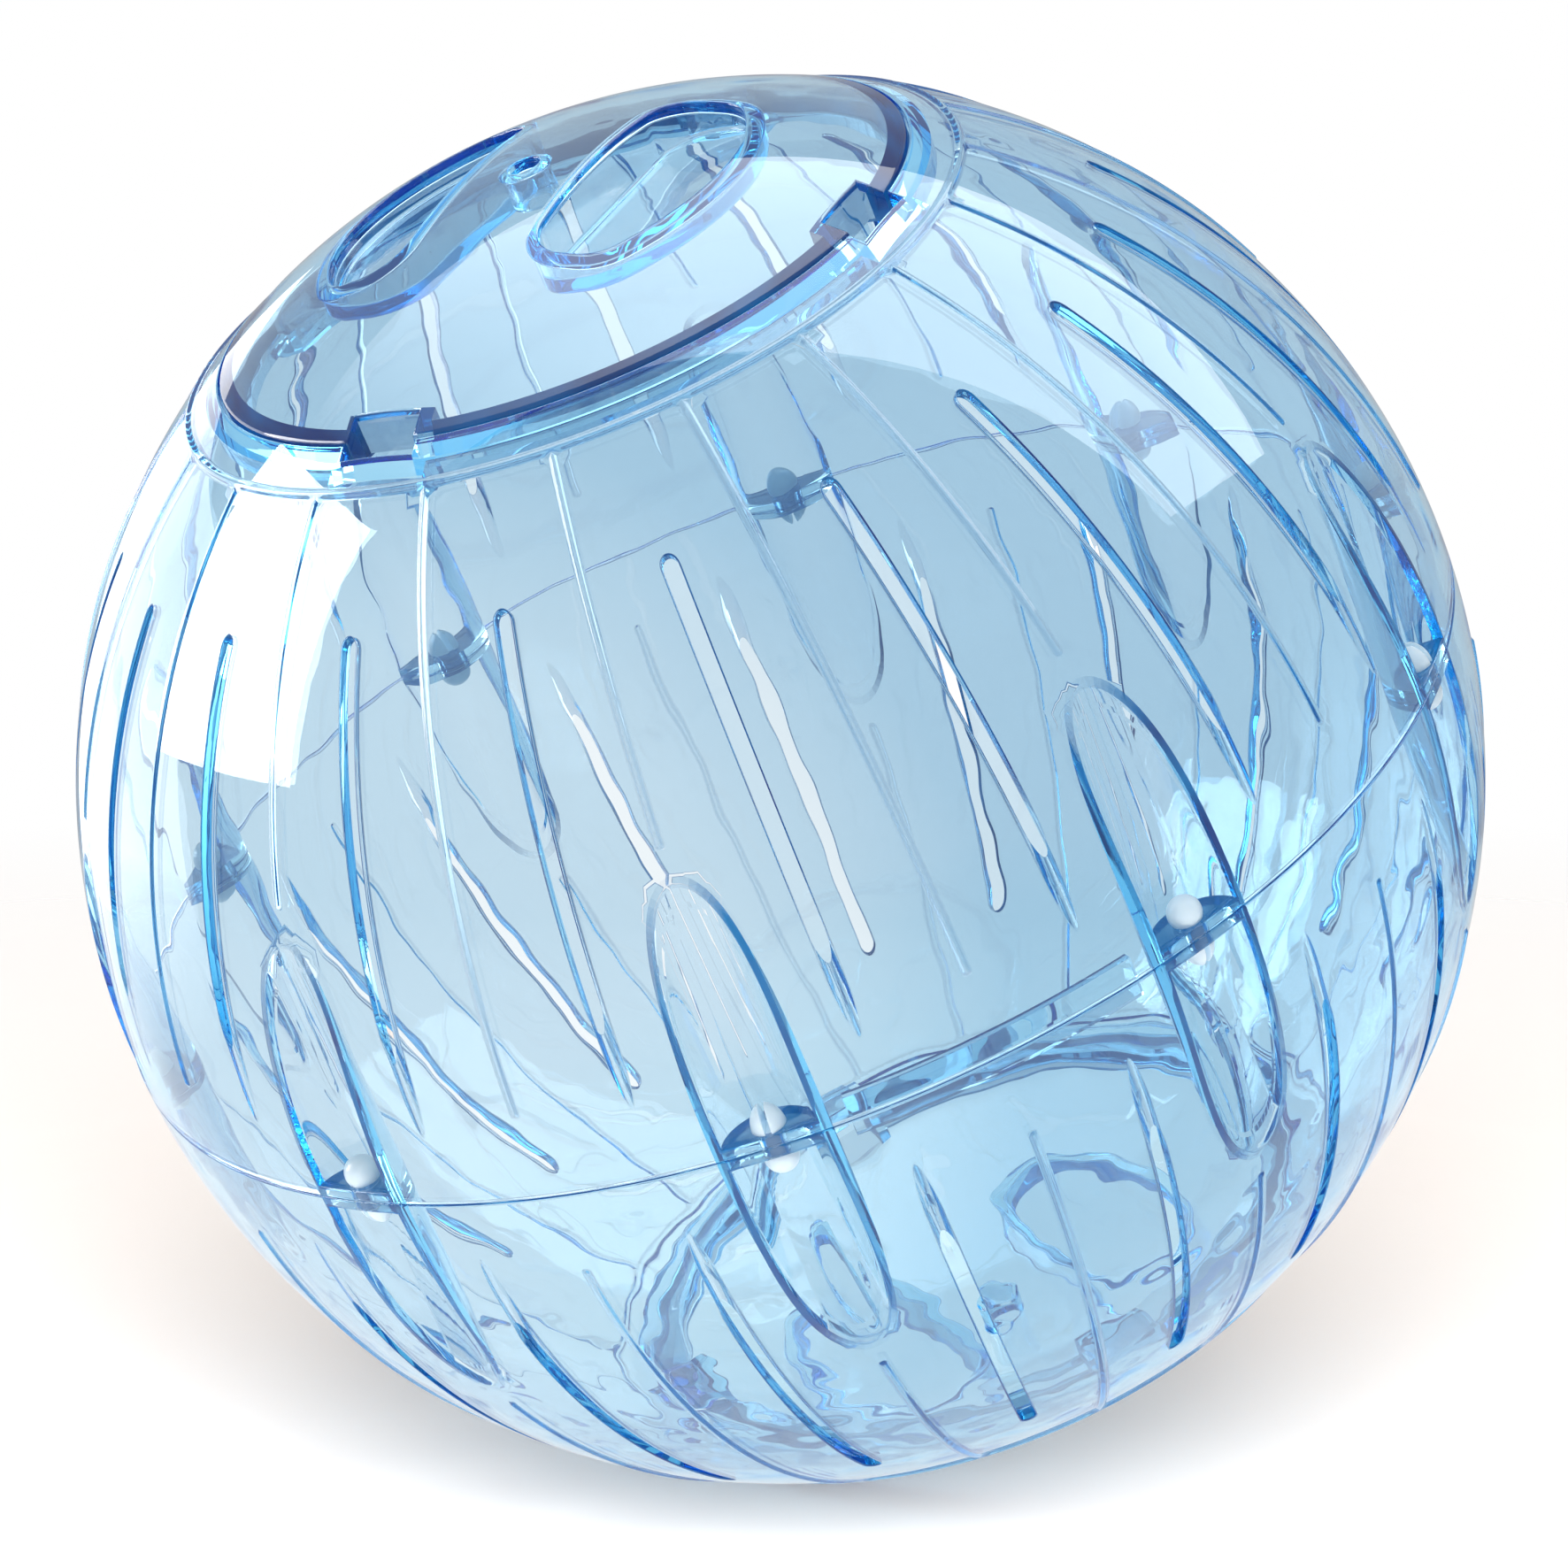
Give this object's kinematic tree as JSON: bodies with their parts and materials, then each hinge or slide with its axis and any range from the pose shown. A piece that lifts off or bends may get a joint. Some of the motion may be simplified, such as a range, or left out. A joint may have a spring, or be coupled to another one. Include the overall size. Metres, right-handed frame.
{
  "type": "hamster ball",
  "caption": "Clear hollow ball for a small pet to run in: two vented half shells pinned at the seam, with a twist-off lid at each pole.",
  "frame": {"origin": "centre of the ball", "axes": "+Z is the axis through both lids, towards the upper lid; -Y is the direction of the pin that faces the viewer in the picture"},
  "size_m": [0.18, 0.18, 0.18],
  "materials": {
    "clear_shell": "clear glossy polystyrene, pale blue tint",
    "clear_lid": "clear glossy polystyrene, pale blue tint",
    "white_pin": "milky white polyethylene"
  },
  "bodies": {
    "shell": {"upper_half": "clear_shell", "lower_half": "clear_shell", "pin_1": "white_pin", "pin_2": "white_pin", "pin_3": "white_pin", "pin_4": "white_pin", "pin_5": "white_pin", "pin_6": "white_pin", "pin_7": "white_pin", "pin_8": "white_pin", "pin_9": "white_pin", "pin_10": "white_pin"},
    "upper_lid_body": {"upper_lid": "clear_lid"},
    "lower_lid_body": {"lower_lid": "clear_lid"}
  },
  "joints": [
    {"name": "upper_lid_lift", "type": "slide", "parent": "shell", "child": "upper_lid_body", "axis": [0, 0, 1], "range_m": [0, 0.1]},
    {"name": "lower_lid_turn", "type": "hinge", "parent": "shell", "child": "lower_lid_body", "pos_m": [0, 0, -0.08], "axis": [0, 0, 1], "range_deg": [0, 20]}
  ]
}
